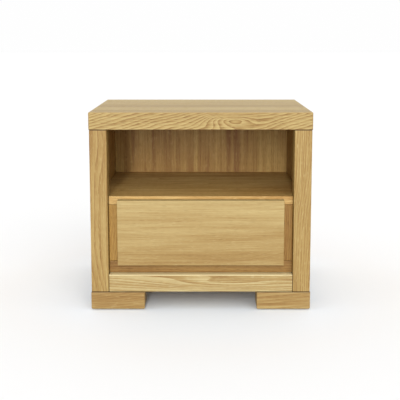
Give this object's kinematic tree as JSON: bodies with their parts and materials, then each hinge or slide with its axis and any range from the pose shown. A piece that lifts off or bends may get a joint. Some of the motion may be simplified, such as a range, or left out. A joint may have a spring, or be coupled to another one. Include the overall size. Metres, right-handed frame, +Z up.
{
  "type": "nightstand",
  "caption": "Solid-oak bedside cabinet on block feet: an open niche over one handle-less drawer in a recessed reveal, running on ball-bearing slides.",
  "frame": {"origin": "on the floor, below the middle of the cabinet", "axes": "+X to the right seen from the front, +Y to the back, +Z up; the drawer opens towards -Y"},
  "size_m": [0.5, 0.4, 0.453],
  "materials": {
    "oak_top": "oiled satin",
    "oak_frame": "oiled satin",
    "oak_front": "oiled satin",
    "oak_panel": "oiled satin",
    "oak_foot": "oiled satin",
    "drawer_wood": "lacquered satin",
    "slide_steel": "zinc plated",
    "screw_steel": "zinc plated",
    "felt": "felt"
  },
  "bodies": {
    "cabinet": {"back_panel": "oak_panel", "back_screw_lower_left": "screw_steel", "back_screw_lower_right": "screw_steel", "back_screw_upper_left": "screw_steel", "back_screw_upper_right": "screw_steel", "base_board": "oak_panel", "base_rail_front": "oak_frame", "base_rail_rear": "oak_frame", "felt_pad_front_left": "felt", "felt_pad_front_right": "felt", "felt_pad_rear_left": "felt", "felt_pad_rear_right": "felt", "foot_front_left": "oak_foot", "foot_front_right": "oak_foot", "foot_rear_left": "oak_foot", "foot_rear_right": "oak_foot", "foot_screw_front_left": "screw_steel", "foot_screw_front_right": "screw_steel", "foot_screw_rear_left": "screw_steel", "foot_screw_rear_right": "screw_steel", "front_post_left": "oak_frame", "front_post_right": "oak_frame", "middle_shelf": "oak_panel", "reveal_strip_left": "oak_panel", "reveal_strip_right": "oak_panel", "runner_batten_left": "oak_panel", "runner_batten_right": "oak_panel", "side_panel_left": "oak_frame", "side_panel_right": "oak_frame", "slide_outer_left": "slide_steel", "slide_outer_right": "slide_steel", "slide_screw_outer_front_left": "screw_steel", "slide_screw_outer_front_right": "screw_steel", "slide_screw_outer_rear_left": "screw_steel", "slide_screw_outer_rear_right": "screw_steel", "top_board": "oak_top", "top_dowel_front_left": "drawer_wood", "top_dowel_front_right": "drawer_wood", "top_dowel_rear_left": "drawer_wood", "top_dowel_rear_right": "drawer_wood"},
    "drawer": {"drawer_back": "drawer_wood", "drawer_box_front": "drawer_wood", "drawer_floor": "drawer_wood", "drawer_front": "oak_front", "drawer_side_left": "drawer_wood", "drawer_side_right": "drawer_wood", "front_screw_lower_left": "screw_steel", "front_screw_lower_right": "screw_steel", "front_screw_upper_left": "screw_steel", "front_screw_upper_right": "screw_steel", "slide_inner_left": "slide_steel", "slide_inner_right": "slide_steel", "slide_screw_inner_front_left": "screw_steel", "slide_screw_inner_front_right": "screw_steel", "slide_screw_inner_rear_left": "screw_steel", "slide_screw_inner_rear_right": "screw_steel"},
    "carriage_left": {"slide_middle_left": "slide_steel"},
    "carriage_right": {"slide_middle_right": "slide_steel"}
  },
  "joints": [
    {"name": "drawer_slide", "type": "slide", "parent": "cabinet", "child": "drawer", "axis": [0, -1, 0], "range_m": [0, 0.28]},
    {"name": "carriage_left_slide", "type": "slide", "parent": "cabinet", "child": "carriage_left", "axis": [0, -1, 0], "range_m": [0, 0.14]},
    {"name": "carriage_right_slide", "type": "slide", "parent": "cabinet", "child": "carriage_right", "axis": [0, -1, 0], "range_m": [0, 0.14]}
  ],
  "couplings": [
    {"joint": "carriage_left_slide", "follows": "drawer_slide", "ratio": 0.5},
    {"joint": "carriage_right_slide", "follows": "drawer_slide", "ratio": 0.5}
  ]
}
